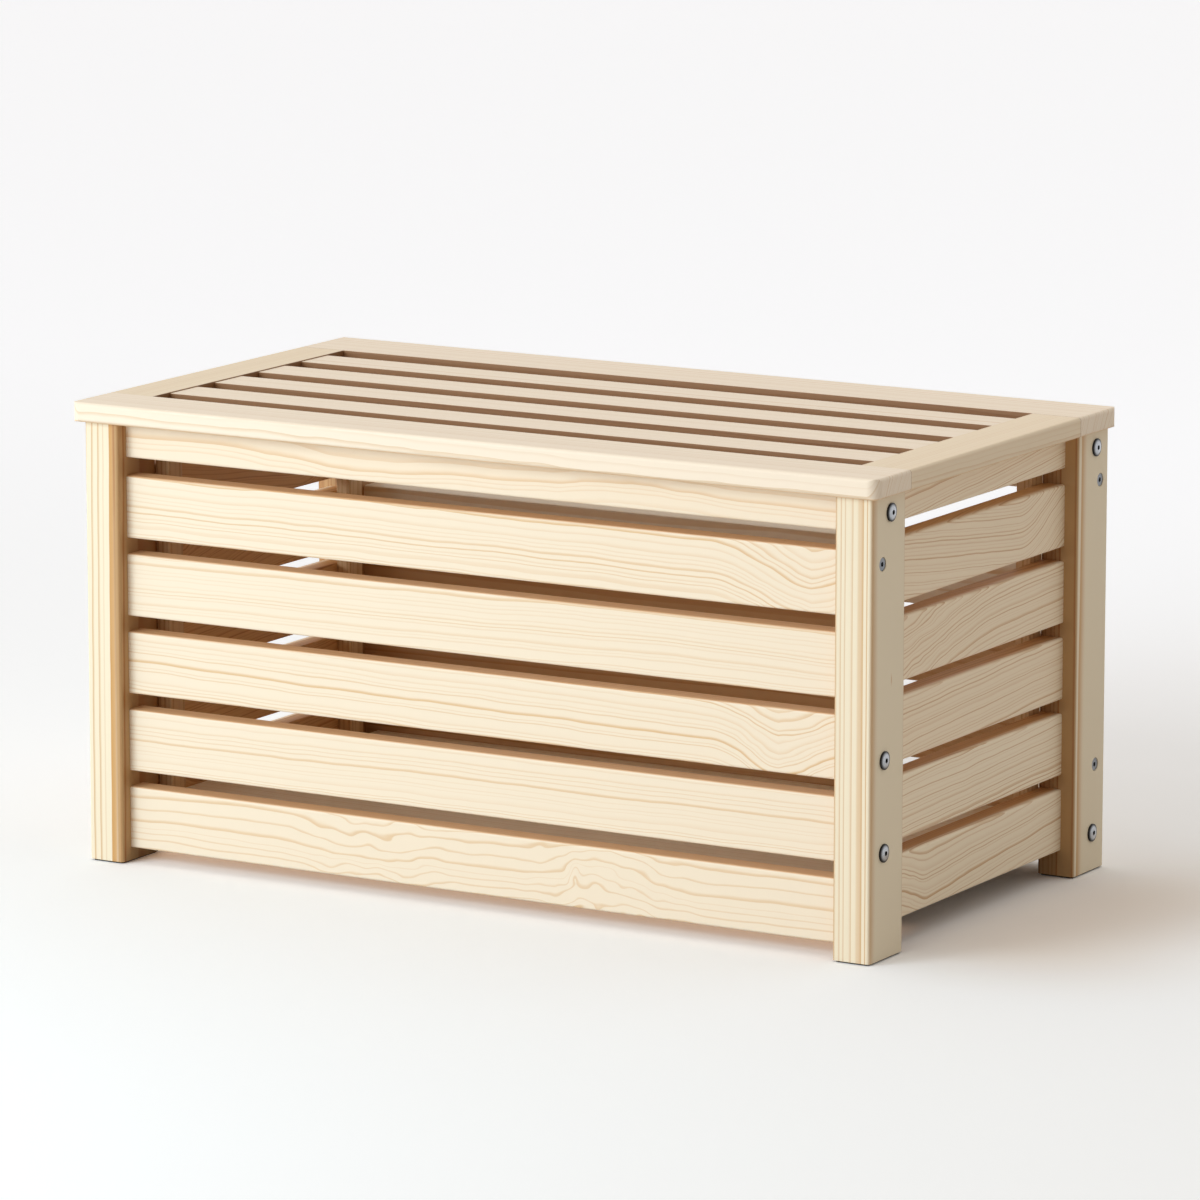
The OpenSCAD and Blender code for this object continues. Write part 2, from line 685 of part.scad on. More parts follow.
module fixed_leaf(s) {
    leaf_z = [leg_top - seat_clearance - leaf_thickness, leg_top - seat_clearance];
    flange_y = [y_back, y_back + leaf_thickness];
    flange_low = leg_top - flange_height;
    hinge_ends = hinge_span(s, 0);
    knuckle_gap = knuckle_third / 2 + pass_clearance / 2;
    color(zinc) difference() {
        union() {
            block(hinge_ends, [y_back - leaf_width, y_back], leaf_z);
            block(hinge_ends, flange_y, [flange_low, leg_top - knuckle_radius]);
            for (x = [[hinge_ends[0], s * hinge_x - knuckle_gap], [s * hinge_x + knuckle_gap, hinge_ends[1]]]) {
                block(x, flange_y, [flange_low, leaf_z[1]]);
                block(x, [y_back - leaf_thickness, axis_y - tab_stop], leaf_z);
                knuckle(x);
            }
        }
        pin_bore(s);
        fixed_screw_places(s) wood_screw_bore(hinge_screw_length);
    }
}
module lid_leaf(s) {
    leaf_z = [leg_top + seat_clearance, leg_top + seat_clearance + leaf_thickness];
    hinge_ends = hinge_span(s, 0);
    knuckle_half = knuckle_third / 2 - pass_clearance / 2;
    knuckle_x = [s * hinge_x - knuckle_half, s * hinge_x + knuckle_half];
    color(zinc) difference() {
        union() {
            block(hinge_ends, [y_back - leaf_width, y_back - pass_clearance], leaf_z);
            block(knuckle_x, [y_back - leaf_thickness, axis_y - tab_stop], leaf_z);
            knuckle(knuckle_x);
            translate([knuckle_x[0], axis_y, leg_top]) rotate([lug_rise, 0, 0])
                translate([0, lug_root, -lug_half])
                    cube([2 * knuckle_half, stop_reach - lug_root, 2 * lug_half]);
        }
        pin_bore(s);
        lid_screw_places(s) wood_screw_bore(lid_screw_length);
    }
}
module hinge_pin(s) {
    reach = hinge_length / 2 + seat_clearance;
    color(steel) translate([s * hinge_x, axis_y, leg_top]) rotate([0, 90, 0]) {
        translate([0, 0, -reach]) cylinder(r = pin_radius, h = 2 * reach);
        for (z = [-reach - pin_head_height, reach])
            translate([0, 0, z]) cylinder(r = pin_head_radius, h = pin_head_height);
    }
}
module hinge_fixed_screws() {
    color(zinc) for (s = [-1, 1]) fixed_screw_places(s) wood_screw_solid(hinge_screw_length);
}
module hinge_lid_screws() {
    color(zinc) for (s = [-1, 1]) lid_screw_places(s) wood_screw_solid(lid_screw_length);
}

leg(-1, -1);  // leg_front_left
leg(1, -1);  // leg_front_right
leg(-1, 1);  // leg_back_left
leg(1, 1);  // leg_back_right
foot_pads();
front_rail();
front_slat_1();
front_slat(2);  // front_slat_2
front_slat(3);  // front_slat_3
front_slat(4);  // front_slat_4
front_slat(5);  // front_slat_5
hinge_rail();
back_slat_1();
back_slat(2);  // back_slat_2
back_slat(3);  // back_slat_3
back_slat(4);  // back_slat_4
end_board(-1, end_rail_z);  // left_rail
end_board(-1, end_slat_z(1));  // left_slat_1
end_board(-1, end_slat_z(2));  // left_slat_2
end_board(-1, end_slat_z(3));  // left_slat_3
end_board(-1, end_slat_z(4));  // left_slat_4
end_board(-1, end_slat_z(5));  // left_slat_5
end_board(1, end_rail_z);  // right_rail
end_board(1, end_slat_z(1));  // right_slat_1
end_board(1, end_slat_z(2));  // right_slat_2
end_board(1, end_slat_z(3));  // right_slat_3
end_board(1, end_slat_z(4));  // right_slat_4
end_board(1, end_slat_z(5));  // right_slat_5
batten(-1, -1);  // batten_front_left
batten(1, -1);  // batten_front_right
batten(-1, 1);  // batten_back_left
batten(1, 1);  // batten_back_right
ledger(-1);  // front_ledger
ledger(1);  // back_ledger
bottom_panel();
frame_bolts();
barrel_nuts();
frame_screws();
panel_dowels();
end_dowels();
batten_screws();
ledger_screws();
lid_front_rail();
lid_back_rail();
lid_end_rail(-1);  // lid_left_rail
lid_end_rail(1);  // lid_right_rail
lid_slat(1);  // lid_slat_1
lid_slat(2);  // lid_slat_2
lid_slat(3);  // lid_slat_3
lid_slat(4);  // lid_slat_4
lid_dowels();
fixed_leaf(-1);  // hinge_left_fixed_leaf
lid_leaf(-1);  // hinge_left_lid_leaf
hinge_pin(-1);  // hinge_left_pin
fixed_leaf(1);  // hinge_right_fixed_leaf
lid_leaf(1);  // hinge_right_lid_leaf
hinge_pin(1);  // hinge_right_pin
hinge_fixed_screws();
hinge_lid_screws();
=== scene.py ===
"""A slatted pine storage trunk with a hinged lid, on a pale studio floor.

The shapes come from the trunk's construction. This file gives every board and fitting its finish.
"""
import math

import bmesh
import bpy
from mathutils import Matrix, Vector


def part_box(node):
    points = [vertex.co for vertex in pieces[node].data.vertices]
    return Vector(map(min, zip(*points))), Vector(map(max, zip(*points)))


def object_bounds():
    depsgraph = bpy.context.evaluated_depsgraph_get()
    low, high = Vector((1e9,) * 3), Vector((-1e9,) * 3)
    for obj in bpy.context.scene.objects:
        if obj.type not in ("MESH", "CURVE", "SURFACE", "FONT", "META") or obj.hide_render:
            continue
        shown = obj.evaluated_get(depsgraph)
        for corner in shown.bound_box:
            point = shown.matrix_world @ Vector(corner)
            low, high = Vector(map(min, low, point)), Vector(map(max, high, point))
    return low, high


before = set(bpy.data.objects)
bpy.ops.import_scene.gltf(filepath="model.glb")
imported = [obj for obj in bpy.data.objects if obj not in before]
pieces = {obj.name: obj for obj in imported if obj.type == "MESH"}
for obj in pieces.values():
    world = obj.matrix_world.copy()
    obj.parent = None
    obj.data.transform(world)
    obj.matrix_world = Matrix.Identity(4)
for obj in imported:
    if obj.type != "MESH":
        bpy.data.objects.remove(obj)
cad_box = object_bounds()


# Legs: four uprights of planed pine, one at each corner, with their edges rounded over.
# They are sawn from straight stock, so the growth rings run up them as honey stripes.
# The rails and slats are dowelled between them, and bolts draw the rails tight.
class Wire:
    """One value inside a material: arithmetic on it adds Math nodes to the material's tree."""

    def __init__(self, tree, socket):
        self.tree = tree
        self.socket = socket

    def node(self, kind, settings=None, inputs=None, output=0):
        """Add a node, set its settings and then its sockets, and give one of its outputs."""
        made = self.tree.nodes.new(kind)
        for name, value in (settings or {}).items():
            setattr(made, name, value)
        for key, value in (inputs or {}).items():
            if isinstance(value, Wire):
                self.tree.links.new(value.socket, made.inputs[key])
            else:
                made.inputs[key].default_value = value
        return Wire(self.tree, made.outputs[output])

    def other(self, output):
        """Another output of the node that this value comes from."""
        return Wire(self.tree, self.socket.node.outputs[output])

    def math(self, operation, *values):
        """A Math node on this value and the others."""
        sockets = dict(enumerate((self, *values)))
        return self.node("ShaderNodeMath", {"operation": operation}, sockets)

    def __add__(self, value):
        return self.math("ADD", value)

    def __sub__(self, value):
        return self.math("SUBTRACT", value)

    def __rsub__(self, value):
        return self * -1.0 + value

    def __mul__(self, value):
        return self.math("MULTIPLY", value)

    def __truediv__(self, value):
        return self.math("DIVIDE", value)

    def __pow__(self, value):
        return self.math("POWER", value)

    __radd__ = __add__
    __rmul__ = __mul__

    def ramp(self, low, high):
        """0 below low, 1 above high, and a smooth rise between them."""
        settings = {"interpolation_type": "SMOOTHSTEP"}
        return self.node("ShaderNodeMapRange", settings, {0: self, 1: low, 2: high})

    def between(self, rise_from, rise_to, fall_from, fall_to):
        """A smooth rise from 0 to 1, and a smooth fall back to 0 further on."""
        return self.ramp(rise_from, rise_to) * (1.0 - self.ramp(fall_from, fall_to))

    def blend(self, first, second, how="MIX"):
        """The first colour where this value is 0, and the second, or its product, where it is 1."""
        settings = {"data_type": "RGBA", "blend_type": how}
        return self.node("ShaderNodeMix", settings, {0: self, 6: first, 7: second}, output=2)


def tint(code):
    """A colour written as its screen code, such as f3e2c6, in the renderer's own linear scale."""
    levels = [int(code[i:i + 2], 16) / 255 for i in (0, 2, 4)]
    return (*[c / 12.92 if c <= 0.04045 else ((c + 0.055) / 1.055) ** 2.4 for c in levels], 1.0)


def new_finish(name):
    """An empty material, its Principled shader and the Object coordinates for its patterns."""
    material = bpy.data.materials.new(name)
    material.use_nodes = True
    tree = material.node_tree
    shader = tree.nodes["Principled BSDF"]
    place = Wire(tree, tree.nodes.new("ShaderNodeTexCoord").outputs["Object"])
    return material, shader, place


def feed(shader, socket, value):
    """Link a value to one of the shader's sockets."""
    shader.id_data.links.new(value.socket, shader.inputs[socket])


def dress(name, material):
    """Give a piece its finish."""
    pieces[name].data.materials.clear()
    pieces[name].data.materials.append(material)


def pine(name, along, across, early, late, ring, pith, seed, lean=0.0, dip=0.0, wander=0.004,
         ripple=0.001, bold=0.7, onset=0.35, swirls=(), eyes=(), shades=()):
    """Give a board its own pine: growth rings round a pith line that runs beside the board.

    along and across are the axes of its length and of the width that shows. early and late are
    the colours of the soft wood and of the lines in it, and ring is the width of a growth ring.
    pith is how far the pith lies from the board's middle, across and in depth, and lean and dip
    are its drift along the length in those two directions. wander and ripple are how far the
    lines stray, slowly and in short waves. bold is how strongly they show, and onset the share
    of a ring at which its late wood starts to darken.

    A swirl is a place along the board, its reach, how far the lines bend down there and how far
    they curl about. An eye is a place along and across, its two half sizes and the rings that it
    adds. A shade is an axis, the side of the board, the shares of its half size between which the
    shade sets in, and a colour that paints shade on the wood there.
    """
    material, shader, place = new_finish(name + "_pine")
    low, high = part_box(name)
    middle = (low + high) / 2
    half = (high - low) / 2
    depth = 3 - along - across
    split = place.node("ShaderNodeSeparateXYZ", inputs={0: place})
    u, v, w = [split.other(axis) - middle[axis] for axis in (along, across, depth)]
    seed_step, noise_spread = 7.31, 2.5

    def noise(stretch_along, stretch_across, offset):
        """Noise between about -1 and 1, drawn out along the board."""
        spot = place.node("ShaderNodeCombineXYZ", inputs={
            0: u * stretch_along + (seed * seed_step + offset),
            1: v * stretch_across, 2: w * stretch_across})
        cloud = place.node("ShaderNodeTexNoise", inputs={
            "Vector": spot, "Scale": 1.0, "Detail": 2.0})
        return (cloud - 0.5) * noise_spread

    # The lines are pushed about by a slow drift, short ripples and the swirls
    sideways = v - u * lean + noise(1.6, 7.0, 0.0) * wander + noise(14.0, 30.0, 3.7) * ripple
    for where, reach, bend, curl in swirls:
        nearness = (1.0 - (u - where).math("ABSOLUTE") / reach).math("MAXIMUM", 0.0)
        curls = nearness.ramp(0.0, 0.7) * noise(15.0, 26.0, 6.1)
        sideways = sideways + nearness.ramp(0.0, 1.1) * bend + curls * curl
    sideways = sideways - pith[0]
    inwards = w + u * dip - pith[1] + noise(1.3, 5.0, 9.1) * wander

    # The rings are counted outwards from the pith, with eyes that add some, and uneven years
    count = (sideways * sideways + inwards * inwards) ** 0.5 / ring
    for eye_along, eye_across, half_along, half_across, added_rings in eyes:
        off_along = (u - eye_along) / half_along
        off_across = (v - eye_across) / half_across
        distance = off_along * off_along + off_across * off_across
        count = count + (distance + 1.0) ** -2.0 * added_rings
    year_pace, year_spread = 0.37, 2.2
    years = place.node("ShaderNodeTexNoise", {"noise_dimensions": "1D"}, {
        "W": count * year_pace + seed, "Scale": 1.0, "Detail": 1.0})
    count = count + (years - 0.5) * year_spread

    # Late wood darkens slowly towards the end of each ring, more in some years than in others
    faintest = 0.35
    strength = place.node("ShaderNodeTexWhiteNoise", {"noise_dimensions": "1D"}, {
        "W": count.math("FLOOR") + seed})
    darkness = strength * (1.0 - faintest) + faintest
    line = count.math("FRACT").between(onset, 0.93, 0.94, 1.0) * darkness

    # Fine fibres along the board, and a slow change of tone
    fibre_share, tone_share = 0.08, 0.06
    fibre = noise(9.0, 900.0, 5.3) * 0.5 + noise(2.5, 240.0, 8.9) * 0.5
    tone = noise(1.8, 9.0, 14.2)
    streak = (line * bold + fibre * fibre_share + tone * tone_share).ramp(0.0, 1.0)
    colour = streak.blend(early, late)
    # Each shade multiplies a painted shade colour into the wood towards one side of the board
    for axis, side, begin, full, darkening in shades:
        outwards = {across: v, depth: w}[axis] * side
        shade = outwards.ramp(begin * half[axis], full * half[axis])
        colour = shade.blend(colour, darkening, "MULTIPLY")
    feed(shader, "Base Color", colour)

    # The lines are a little smoother than the soft wood, and stand up from it
    plain_roughness = 0.56
    feed(shader, "Roughness", line * -0.08 + (fibre * 0.04 + plain_roughness))
    feed(shader, "Normal", place.node("ShaderNodeBump", inputs={
        "Strength": 0.25, "Distance": 0.0004, "Height": line * 0.5 + fibre * 0.25}))
    dress(name, material)


X, Y, Z = 0, 1, 2
leg_early = tint("f2e6cf")
leg_late = tint("cb9855")
leg_painted_shade = tint("caa983")
shade_fade = 0.17

# A row is a leg, the axis across its face, its pith, the side that looks along the trunk and
# where the painted shade starts on it, the side that looks across the trunk, and the leg's eyes
leg_rows = [
    ("leg_front_left", X, (0.110, 0.020), 1, 0.60, 1, []),
    ("leg_front_right", Y, (0.005, -0.1579), -1, 0.80, 1, [(0.040, 0.006, 0.010, 0.0018, 0.45)]),
    ("leg_back_left", Y, (0.005, 0.160), 1, 0.80, -1, []),
    ("leg_back_right", Y, (0.012, -0.150), -1, 0.80, -1, []),
]
# The legs' inner faces, and a strip of the front left leg's face beside them, get painted shade
for number, (leg, face, leg_pith, inner_x, shade_from, inner_y, leg_eyes) in enumerate(leg_rows):
    pine(leg, Z, face, leg_early, leg_late, ring=0.0060, pith=leg_pith, seed=number + 1.0,
         lean=0.004, wander=0.001, ripple=0.0006, bold=1.0, onset=0.45, eyes=leg_eyes,
         shades=[(X, inner_x, shade_from, shade_from + shade_fade, leg_painted_shade),
                 (Y, inner_y, 0.88, 0.98, leg_painted_shade)])


# Foot pads: thin dark rubber pads, one under each leg, set in a little from its edges.
# They keep the end grain off the floor, and show as a dark line under the feet.
def speckle(place, scale, detail=2.0):
    """Fine even noise between 0 and 1, for the small pieces."""
    inputs = {"Vector": place, "Scale": scale, "Detail": detail}
    return place.node("ShaderNodeTexNoise", inputs=inputs)


pad_finish, pad_shader, pad_place = new_finish("foot_pad_rubber")
pad_grain = speckle(pad_place, 900.0)
feed(pad_shader, "Base Color", pad_grain.blend(tint("241f1a"), tint("35302a")))
feed(pad_shader, "Roughness", pad_grain * 0.2 + 0.7)
dress("foot_pads", pad_finish)

# Front panel: a top rail and five wide slats of pale pine between the front legs.
# The slats stand apart with open gaps, and their long edges are rounded over.
# Their inner faces carry painted shade, and their top edges a painted warm shade and bounce light.
slat_early = tint("f4e6d2")
slat_late = tint("dcb581")
# A painted shade for the inner faces, and a warm painted shade for the slats' tops in the gaps
inside = tint("f0cda3")
top_edge_painted_shade = tint("f2d2b2")
rail_painted_shade = [(Y, 1, 0.90, 1.00, inside)]
slat_painted_shade = rail_painted_shade + [(Z, 1, 0.955, 1.00, top_edge_painted_shade)]
front_figures = {
    "front_rail": dict(
        ring=0.0045, pith=(0.045, 0.035), seed=11.0, lean=0.020, dip=0.020, wander=0.010,
        ripple=0.0015, bold=0.7, shades=rail_painted_shade,
        swirls=[(-0.150, 0.140, 0.008, 0.003), (0.160, 0.140, -0.008, 0.003)]),
    "front_slat_5": dict(
        ring=0.0036, pith=(0.085, 0.060), seed=12.0, lean=-0.008, wander=0.006, ripple=0.0020,
        bold=0.8, shades=slat_painted_shade, swirls=[(0.335, 0.100, 0.030, 0.007)]),
    "front_slat_4": dict(
        ring=0.0036, pith=(0.090, 0.050), seed=13.0, lean=0.008, wander=0.005, ripple=0.0018,
        bold=0.6, shades=slat_painted_shade),
    "front_slat_3": dict(
        ring=0.0038, pith=(0.085, 0.060), seed=14.0, lean=-0.008, wander=0.006, ripple=0.0022,
        bold=0.8, shades=slat_painted_shade, swirls=[(0.304, 0.070, 0.024, 0.007)]),
    "front_slat_2": dict(
        ring=0.0042, pith=(0.085, 0.040), seed=15.0, lean=0.004, wander=0.004, ripple=0.0018,
        bold=0.65, onset=0.5, shades=slat_painted_shade),
    "front_slat_1": dict(
        ring=0.0050, pith=(0.060, 0.050), seed=16.0, lean=0.006, wander=0.009, ripple=0.0022,
        bold=0.75, onset=0.6, shades=slat_painted_shade,
        swirls=[(-0.100, 0.120, 0.008, 0.014), (0.130, 0.110, -0.008, 0.018)],
        eyes=[(0.102, 0.002, 0.008, 0.020, 1.7), (-0.072, 0.012, 0.012, 0.006, 1.1)]),
}
for board, figure in front_figures.items():
    pine(board, X, Z, slat_early, slat_late, **figure)

# Back panel: a deep hinge rail and four slats of the same pine, with an open band under the rail.
# The hinges are let on to the rail, so it is thicker than the slats.
# The three lower slats are darkened on the inside with painted shade, unlike the rail and the slat
# below the band.
back_painted_shade = tint("dab891")
back_boards = ["hinge_rail"] + [f"back_slat_{i}" for i in range(1, 5)]
shaded_boards = back_boards[1:4]
for number, board in enumerate(back_boards):
    pine(board, X, Z, slat_early, slat_late, ring=0.0042, pith=(0.080 - 0.012 * number, 0.065),
         seed=21.0 + number, lean=0.010 - 0.005 * number, wander=0.006,
         shades=[(Y, -1, 0.90, 1.00, back_painted_shade)] if board in shaded_boards else [])

# End panels: a top rail and five slats at each end, dowelled between the front and back legs.
# They come from wilder boards, with finer lines that bend and wave.
# Their inner faces, and most of the slats' top faces, are darkened with painted shade.
end_early = tint("fcecd4")
end_late = tint("cda16c")
end_fresh = tint("fff1da")
end_painted_shade = tint("dcb78a")
rail_shade_span = (0.80, 0.98)
slat_shade_span = (-0.85, -0.20)

# A row is a board, its soft wood's colour, its pith, lean and dip, where its painted shade sets in
# and its swirls
end_rows = [
    ("rail", end_fresh, (0.050, 0.030), 0.120, 0.060, rail_shade_span, []),
    ("slat_5", end_early, (0.070, 0.030), -0.100, 0.030, slat_shade_span,
     [(0.185, 0.112, -0.055, 0.003)]),
    ("slat_4", end_early, (0.075, 0.028), 0.060, 0.040, slat_shade_span,
     [(-0.160, 0.200, 0.030, 0.008)]),
    ("slat_3", end_early, (0.070, 0.040), 0.060, 0.030, slat_shade_span, []),
    ("slat_2", end_fresh, (0.080, 0.040), 0.050, 0.020, slat_shade_span, []),
    ("slat_1", end_fresh, (0.050, 0.040), 0.100, 0.040, slat_shade_span,
     [(-0.140, 0.050, -0.016, 0.008)]),
]
for first_seed, end_name, inner_side in ((31.0, "left", 1), (38.0, "right", -1)):
    for number, (board, soft, end_pith, end_lean, end_dip, shade_span, bends) in enumerate(end_rows):
        pine(f"{end_name}_{board}", Y, Z, soft, end_late, ring=0.0034, pith=end_pith,
             lean=end_lean, dip=end_dip, seed=first_seed + number, wander=0.006, ripple=0.002,
             bold=0.8, swirls=bends, shades=[(X, inner_side, *shade_span, end_painted_shade)])

# Battens and ledgers: rough-sawn strips inside the trunk, screwed on from within.
# The battens tie the end slats together, and the ledgers carry the bottom.
# Their pine is a darker, browner copy of the slats' pine, as painted shade inside the trunk
inner_shaded_early = tint("dcb98c")
inner_shaded_late = tint("b98a54")
battens = [f"batten_{row}_{side}" for row in ("front", "back") for side in ("left", "right")]
for number, board in enumerate(battens):
    pine(board, Z, X, inner_shaded_early, inner_shaded_late, ring=0.0040, pith=(0.080, 0.040),
         seed=51.0 + number)
for number, board in enumerate(("front_ledger", "back_ledger")):
    pine(board, X, Z, inner_shaded_early, inner_shaded_late, ring=0.0040, pith=(0.070, 0.040),
         seed=56.0 + number)

# Bottom panel: one sheet of plywood laid loose on the ledgers.
# Its face veneer is peeled, so the rings spread into broad figures.
veneer_early = tint("fbefd8")
veneer_late = tint("e6cba2")
pine("bottom_panel", X, Y, veneer_early, veneer_late, ring=0.0060, pith=(0.020, 0.020), seed=61.0,
     wander=0.030, ripple=0.002)

# Lid: a frame of four rails with four slats set between its ends, all of pale straight pine.
# The boards lie flat with their edges eased, and dowels hold them together.
# The edges that face the slots are darkened brown as painted shade, and the undersides get a
# lighter painted shade.
lid_early = tint("f6e8d7")
lid_end_early = tint("f0dfc6")
lid_late = tint("d4b184")
slot_painted_shade = tint("9c7a5a")
slot_shade_span = (0.975, 0.997)
lid_under_painted_shade = (Z, -1, 0.75, 0.98, tint("f6e2c8"))
lid_figure = dict(ring=0.0030, pith=(0.090, -0.050), lean=0.004, wander=0.004, bold=0.55)
long_boards = [("lid_front_rail", [1]), ("lid_back_rail", [-1])]
long_boards += [(f"lid_slat_{i}", [-1, 1]) for i in range(1, 5)]
for number, (board, slot_sides) in enumerate(long_boards):
    slot_shades = [(Y, side, *slot_shade_span, slot_painted_shade) for side in slot_sides]
    pine(board, X, Y, lid_early, lid_late, seed=71.0 + number,
         shades=slot_shades + [lid_under_painted_shade], **lid_figure)
for number, (board, slot_side) in enumerate((("lid_left_rail", 1), ("lid_right_rail", -1))):
    pine(board, Y, X, lid_end_early, lid_late, seed=81.0 + number,
         shades=[(X, slot_side, *slot_shade_span, slot_painted_shade), lid_under_painted_shade], **lid_figure)

# Dowels: plain beech pins glued into the boards' ends, hidden once the trunk is together.
# Their wood has a fine fleck and no lines.
dowel_finish, dowel_shader, dowel_place = new_finish("beech_dowel")
dowel_fleck = speckle(dowel_place, 400.0)
feed(dowel_shader, "Base Color", dowel_fleck.blend(tint("c99b6d"), tint("dcb68b")))
feed(dowel_shader, "Roughness", dowel_fleck * 0.2 + 0.5)
for group in ("panel_dowels", "end_dowels", "lid_dowels"):
    dress(group, dowel_finish)

# Bolts: bright plated steel, with low domed heads and hexagon sockets.
# They pass through the legs into barrel nuts in the rails.
# Their sockets and the roots of their heads are painted near black as shade, and are rougher there.
bolt_finish, bolt_shader, bolt_place = new_finish("bolt_steel")
bolt_wear = speckle(bolt_place, 700.0, detail=3.0)
bolt_out = bolt_place.node("ShaderNodeSeparateXYZ", inputs={0: bolt_place}).math("ABSOLUTE")
leg_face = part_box("leg_front_right")[1][X]
shaded_root, bright_dome = leg_face + 0.0014, leg_face + 0.0022
bolt_unshaded = bolt_out.ramp(shaded_root, bright_dome)
bolt_plate = bolt_wear.blend(tint("9b9ea3"), tint("c6c9cd"))
feed(bolt_shader, "Base Color", bolt_unshaded.blend(tint("2e2c2b"), bolt_plate))
feed(bolt_shader, "Roughness", bolt_wear * 0.10 + (bolt_unshaded * -0.22 + 0.34))
bolt_shader.inputs["Metallic"].default_value = 1.0
dress("frame_bolts", bolt_finish)

# Screws and barrel nuts: zinc plated steel, greyer than the bolts.
# The screws' sunk heads lie level with the wood.
screw_finish, screw_shader, screw_place = new_finish("screw_steel")
screw_wear = speckle(screw_place, 700.0, detail=3.0)
feed(screw_shader, "Base Color", screw_wear.blend(tint("5f6165"), tint("94979b")))
feed(screw_shader, "Roughness", screw_wear * 0.15 + 0.20)
screw_shader.inputs["Metallic"].default_value = 1.0
for group in ("frame_screws", "barrel_nuts", "batten_screws", "ledger_screws",
              "hinge_fixed_screws", "hinge_lid_screws"):
    dress(group, screw_finish)

# Hinges: two pressed steel stop hinges, each with a fixed leaf, a lid leaf and a pin.
# The rolled sheet is zinc plated and brushed along its length.
hinge_finish, hinge_shader, hinge_place = new_finish("hinge_steel")
brush_scale = (60.0, 2400.0, 2400.0)
hinge_stretch = hinge_place.node("ShaderNodeMapping", inputs={
    "Vector": hinge_place, "Scale": brush_scale})
hinge_brush = speckle(hinge_stretch, 1.0)
feed(hinge_shader, "Base Color", hinge_brush.blend(tint("9c9c99"), tint("bdbdb9")))
feed(hinge_shader, "Roughness", hinge_brush * 0.2 + 0.25)
hinge_shader.inputs["Metallic"].default_value = 1.0
for side in ("left", "right"):
    for part in ("fixed_leaf", "lid_leaf", "pin"):
        dress(f"hinge_{side}_{part}", hinge_finish)


# Studio floor: a wide pale sheet under the trunk, which takes its soft shadow.
# The camera and mirrors see it nearly white, and the light that it throws back is plain.
# A painted warm glow lies under the front edge, and a painted warm shadow beside the right end.
def pale_rays(start):
    """1 for the rays that show a surface as it is: from the camera, in a mirror, through glass."""
    path = start.node("ShaderNodeLightPath", output="Is Camera Ray")
    mirrored = path.math("MAXIMUM", path.other("Is Glossy Ray"))
    return mirrored.math("MAXIMUM", path.other("Is Transmission Ray"))


floor_reach = 40.0
floor_mesh = bpy.data.meshes.new("floor")
floor = bpy.data.objects.new("floor", floor_mesh)
bpy.context.scene.collection.objects.link(floor)
floor_form = bmesh.new()
bmesh.ops.create_grid(floor_form, x_segments=1, y_segments=1, size=floor_reach)
floor_form.to_mesh(floor_mesh)
floor_form.free()
floor_finish, _, floor_place = new_finish("floor")
floor_tree = floor_finish.node_tree
floor_x = floor_place.node("ShaderNodeSeparateXYZ", inputs={0: floor_place})
floor_y = floor_x.other(Y)
trunk_end = cad_box[1][X]
trunk_front = cad_box[0][Y]

# Its pale colour rises a little towards the back, and a painted warm shadow darkens it beside the
# right end
near_pale = (1.00, 1.04, 1.12, 1.0)
far_pale = (1.17, 1.24, 1.39, 1.0)
painted_warm_shadow = (0.88, 0.81, 0.74, 1.0)
floor_pale = floor_y.ramp(-0.8, 2.5).blend(near_pale, far_pale)
beside = floor_x.between(trunk_end - 0.10, trunk_end + 0.08, trunk_end + 0.08, trunk_end + 0.30)
beside = beside * floor_y.between(trunk_front - 0.05, trunk_front + 0.15, 0.10, 0.40)
floor_pale = beside.blend(floor_pale, painted_warm_shadow, "MULTIPLY")
floor_lit = floor_place.node("ShaderNodeBsdfDiffuse", inputs={"Color": floor_pale})

# A strip under the front edge glows, a painted light for the light that the lowest slat throws down
no_glow = (0.0, 0.0, 0.0, 1.0)
painted_slat_glow = (0.46, 0.29, 0.185, 1.0)
under_front_glow = floor_y.between(
    trunk_front - 0.02, trunk_front + 0.09, trunk_front + 0.09, trunk_front + 0.18)
past_ends = floor_x.math("ABSOLUTE").ramp(trunk_end - 0.06, trunk_end - 0.03)
painted_wood_glow = (under_front_glow * (1.0 - past_ends)).blend(no_glow, painted_slat_glow)
floor_painted_glow = floor_place.node("ShaderNodeEmission", inputs={"Color": painted_wood_glow})
floor_shown = floor_place.node("ShaderNodeAddShader", inputs={0: floor_lit, 1: floor_painted_glow})

# All other rays meet a plain warm grey
plain_grey = (0.60, 0.57, 0.54, 1.0)
floor_plain = floor_place.node("ShaderNodeBsdfDiffuse", inputs={"Color": plain_grey})
floor_both = floor_place.node("ShaderNodeMixShader", inputs={
    0: pale_rays(floor_place), 1: floor_plain, 2: floor_shown})
floor_tree.links.new(floor_both.socket, floor_tree.nodes["Material Output"].inputs["Surface"])
floor_mesh.materials.append(floor_finish)


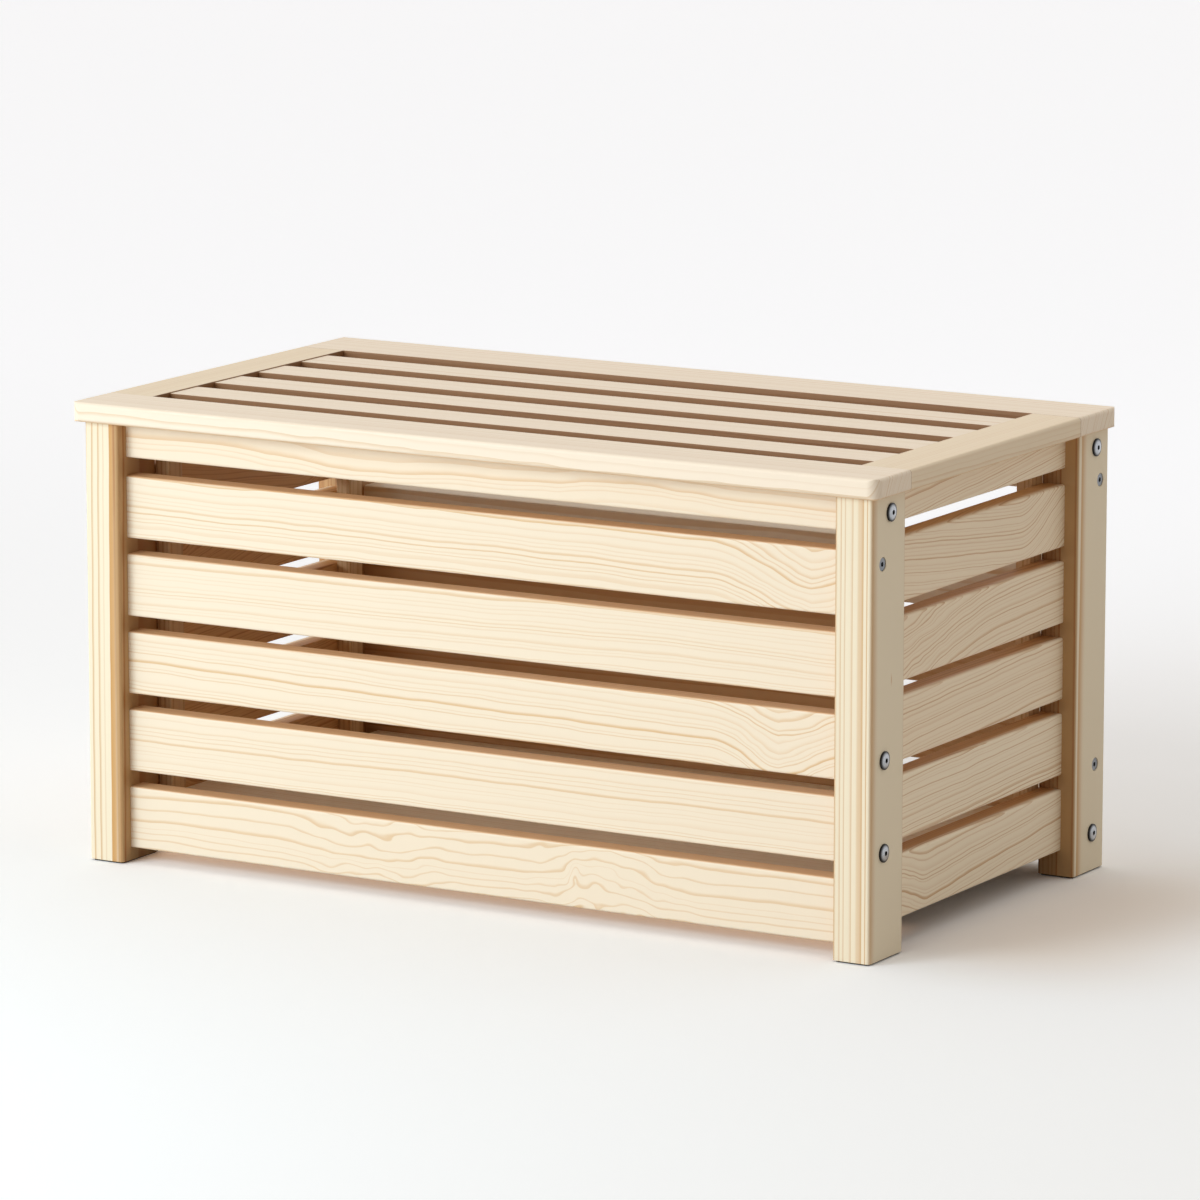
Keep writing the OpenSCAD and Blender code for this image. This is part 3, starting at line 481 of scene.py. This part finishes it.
# Light: one broad soft lamp from the front left, a nearer cool one at the left like a window,
# and a warm glow all round that is weaker at the front right, where the camera stands.
def add_lamp(name, kind, energy, colour, lamp_way, place=(0.0, 0.0, 0.0)):
    """Hang a lamp. lamp_way points from what it lights to the lamp."""
    lamp_data = bpy.data.lights.new(name, kind)
    lamp_data.energy = energy
    lamp_data.color = colour
    lamp = bpy.data.objects.new(name, lamp_data)
    lamp.location = place
    lamp.rotation_euler = Vector(lamp_way).to_track_quat("Z", "Y").to_euler()
    bpy.context.scene.collection.objects.link(lamp)
    return lamp_data


sun = add_lamp("key", "SUN", 1.21, (1.0, 0.965, 0.93), (-0.36, -0.90, 0.24))
sun.angle = math.radians(50.0)
window_place = Vector((-1.1, -2.1, 0.9))
window_aim = Vector((-0.2, -0.2, 0.2))
window_way = window_place - window_aim
window = add_lamp("window", "AREA", 22.0, (0.78, 0.95, 1.0), window_way, window_place)
window.size = 1.2
world = bpy.data.worlds.new("studio")
world.use_nodes = True
bpy.context.scene.world = world
world_tree = world.node_tree
sky_way = Wire(world_tree, world_tree.nodes.new("ShaderNodeTexCoord").outputs["Generated"])
dim_way = (0.66, -0.75, 0.0)
warm_sky = (0.86, 0.80, 0.71, 1.0)
dim_sky = (0.17, 0.157, 0.133, 1.0)
seen_sky = (0.93, 0.93, 0.93, 1.0)
dim_share = sky_way.node("ShaderNodeVectorMath", {"operation": "DOT_PRODUCT"}, {
    0: sky_way, 1: dim_way}, output="Value")
sky_glow = dim_share.ramp(0.0, 0.9).blend(warm_sky, dim_sky)
sky_shown = pale_rays(sky_way).blend(sky_glow, seen_sky)
world_tree.links.new(sky_shown.socket, world_tree.nodes["Background"].inputs["Color"])

# Camera: a long lens, turned to the trunk's right front corner and looking a little down.
# It stands well back, so the trunk's edges run nearly parallel.
look_down, turn_left = 10.7412, 30.5975
camera_data = bpy.data.cameras.new("camera")
camera_data.lens = 209.44
camera_data.sensor_width = 36.0
camera_data.clip_end = 200.0
camera = bpy.data.objects.new("camera", camera_data)
camera.location = (3.1305, -5.2880, 1.4069)
camera.rotation_euler = (math.radians(90.0 - look_down), 0.0, math.radians(turn_left))
bpy.context.scene.collection.objects.link(camera)
bpy.context.scene.camera = camera
bpy.context.scene.view_settings.view_transform = "Standard"
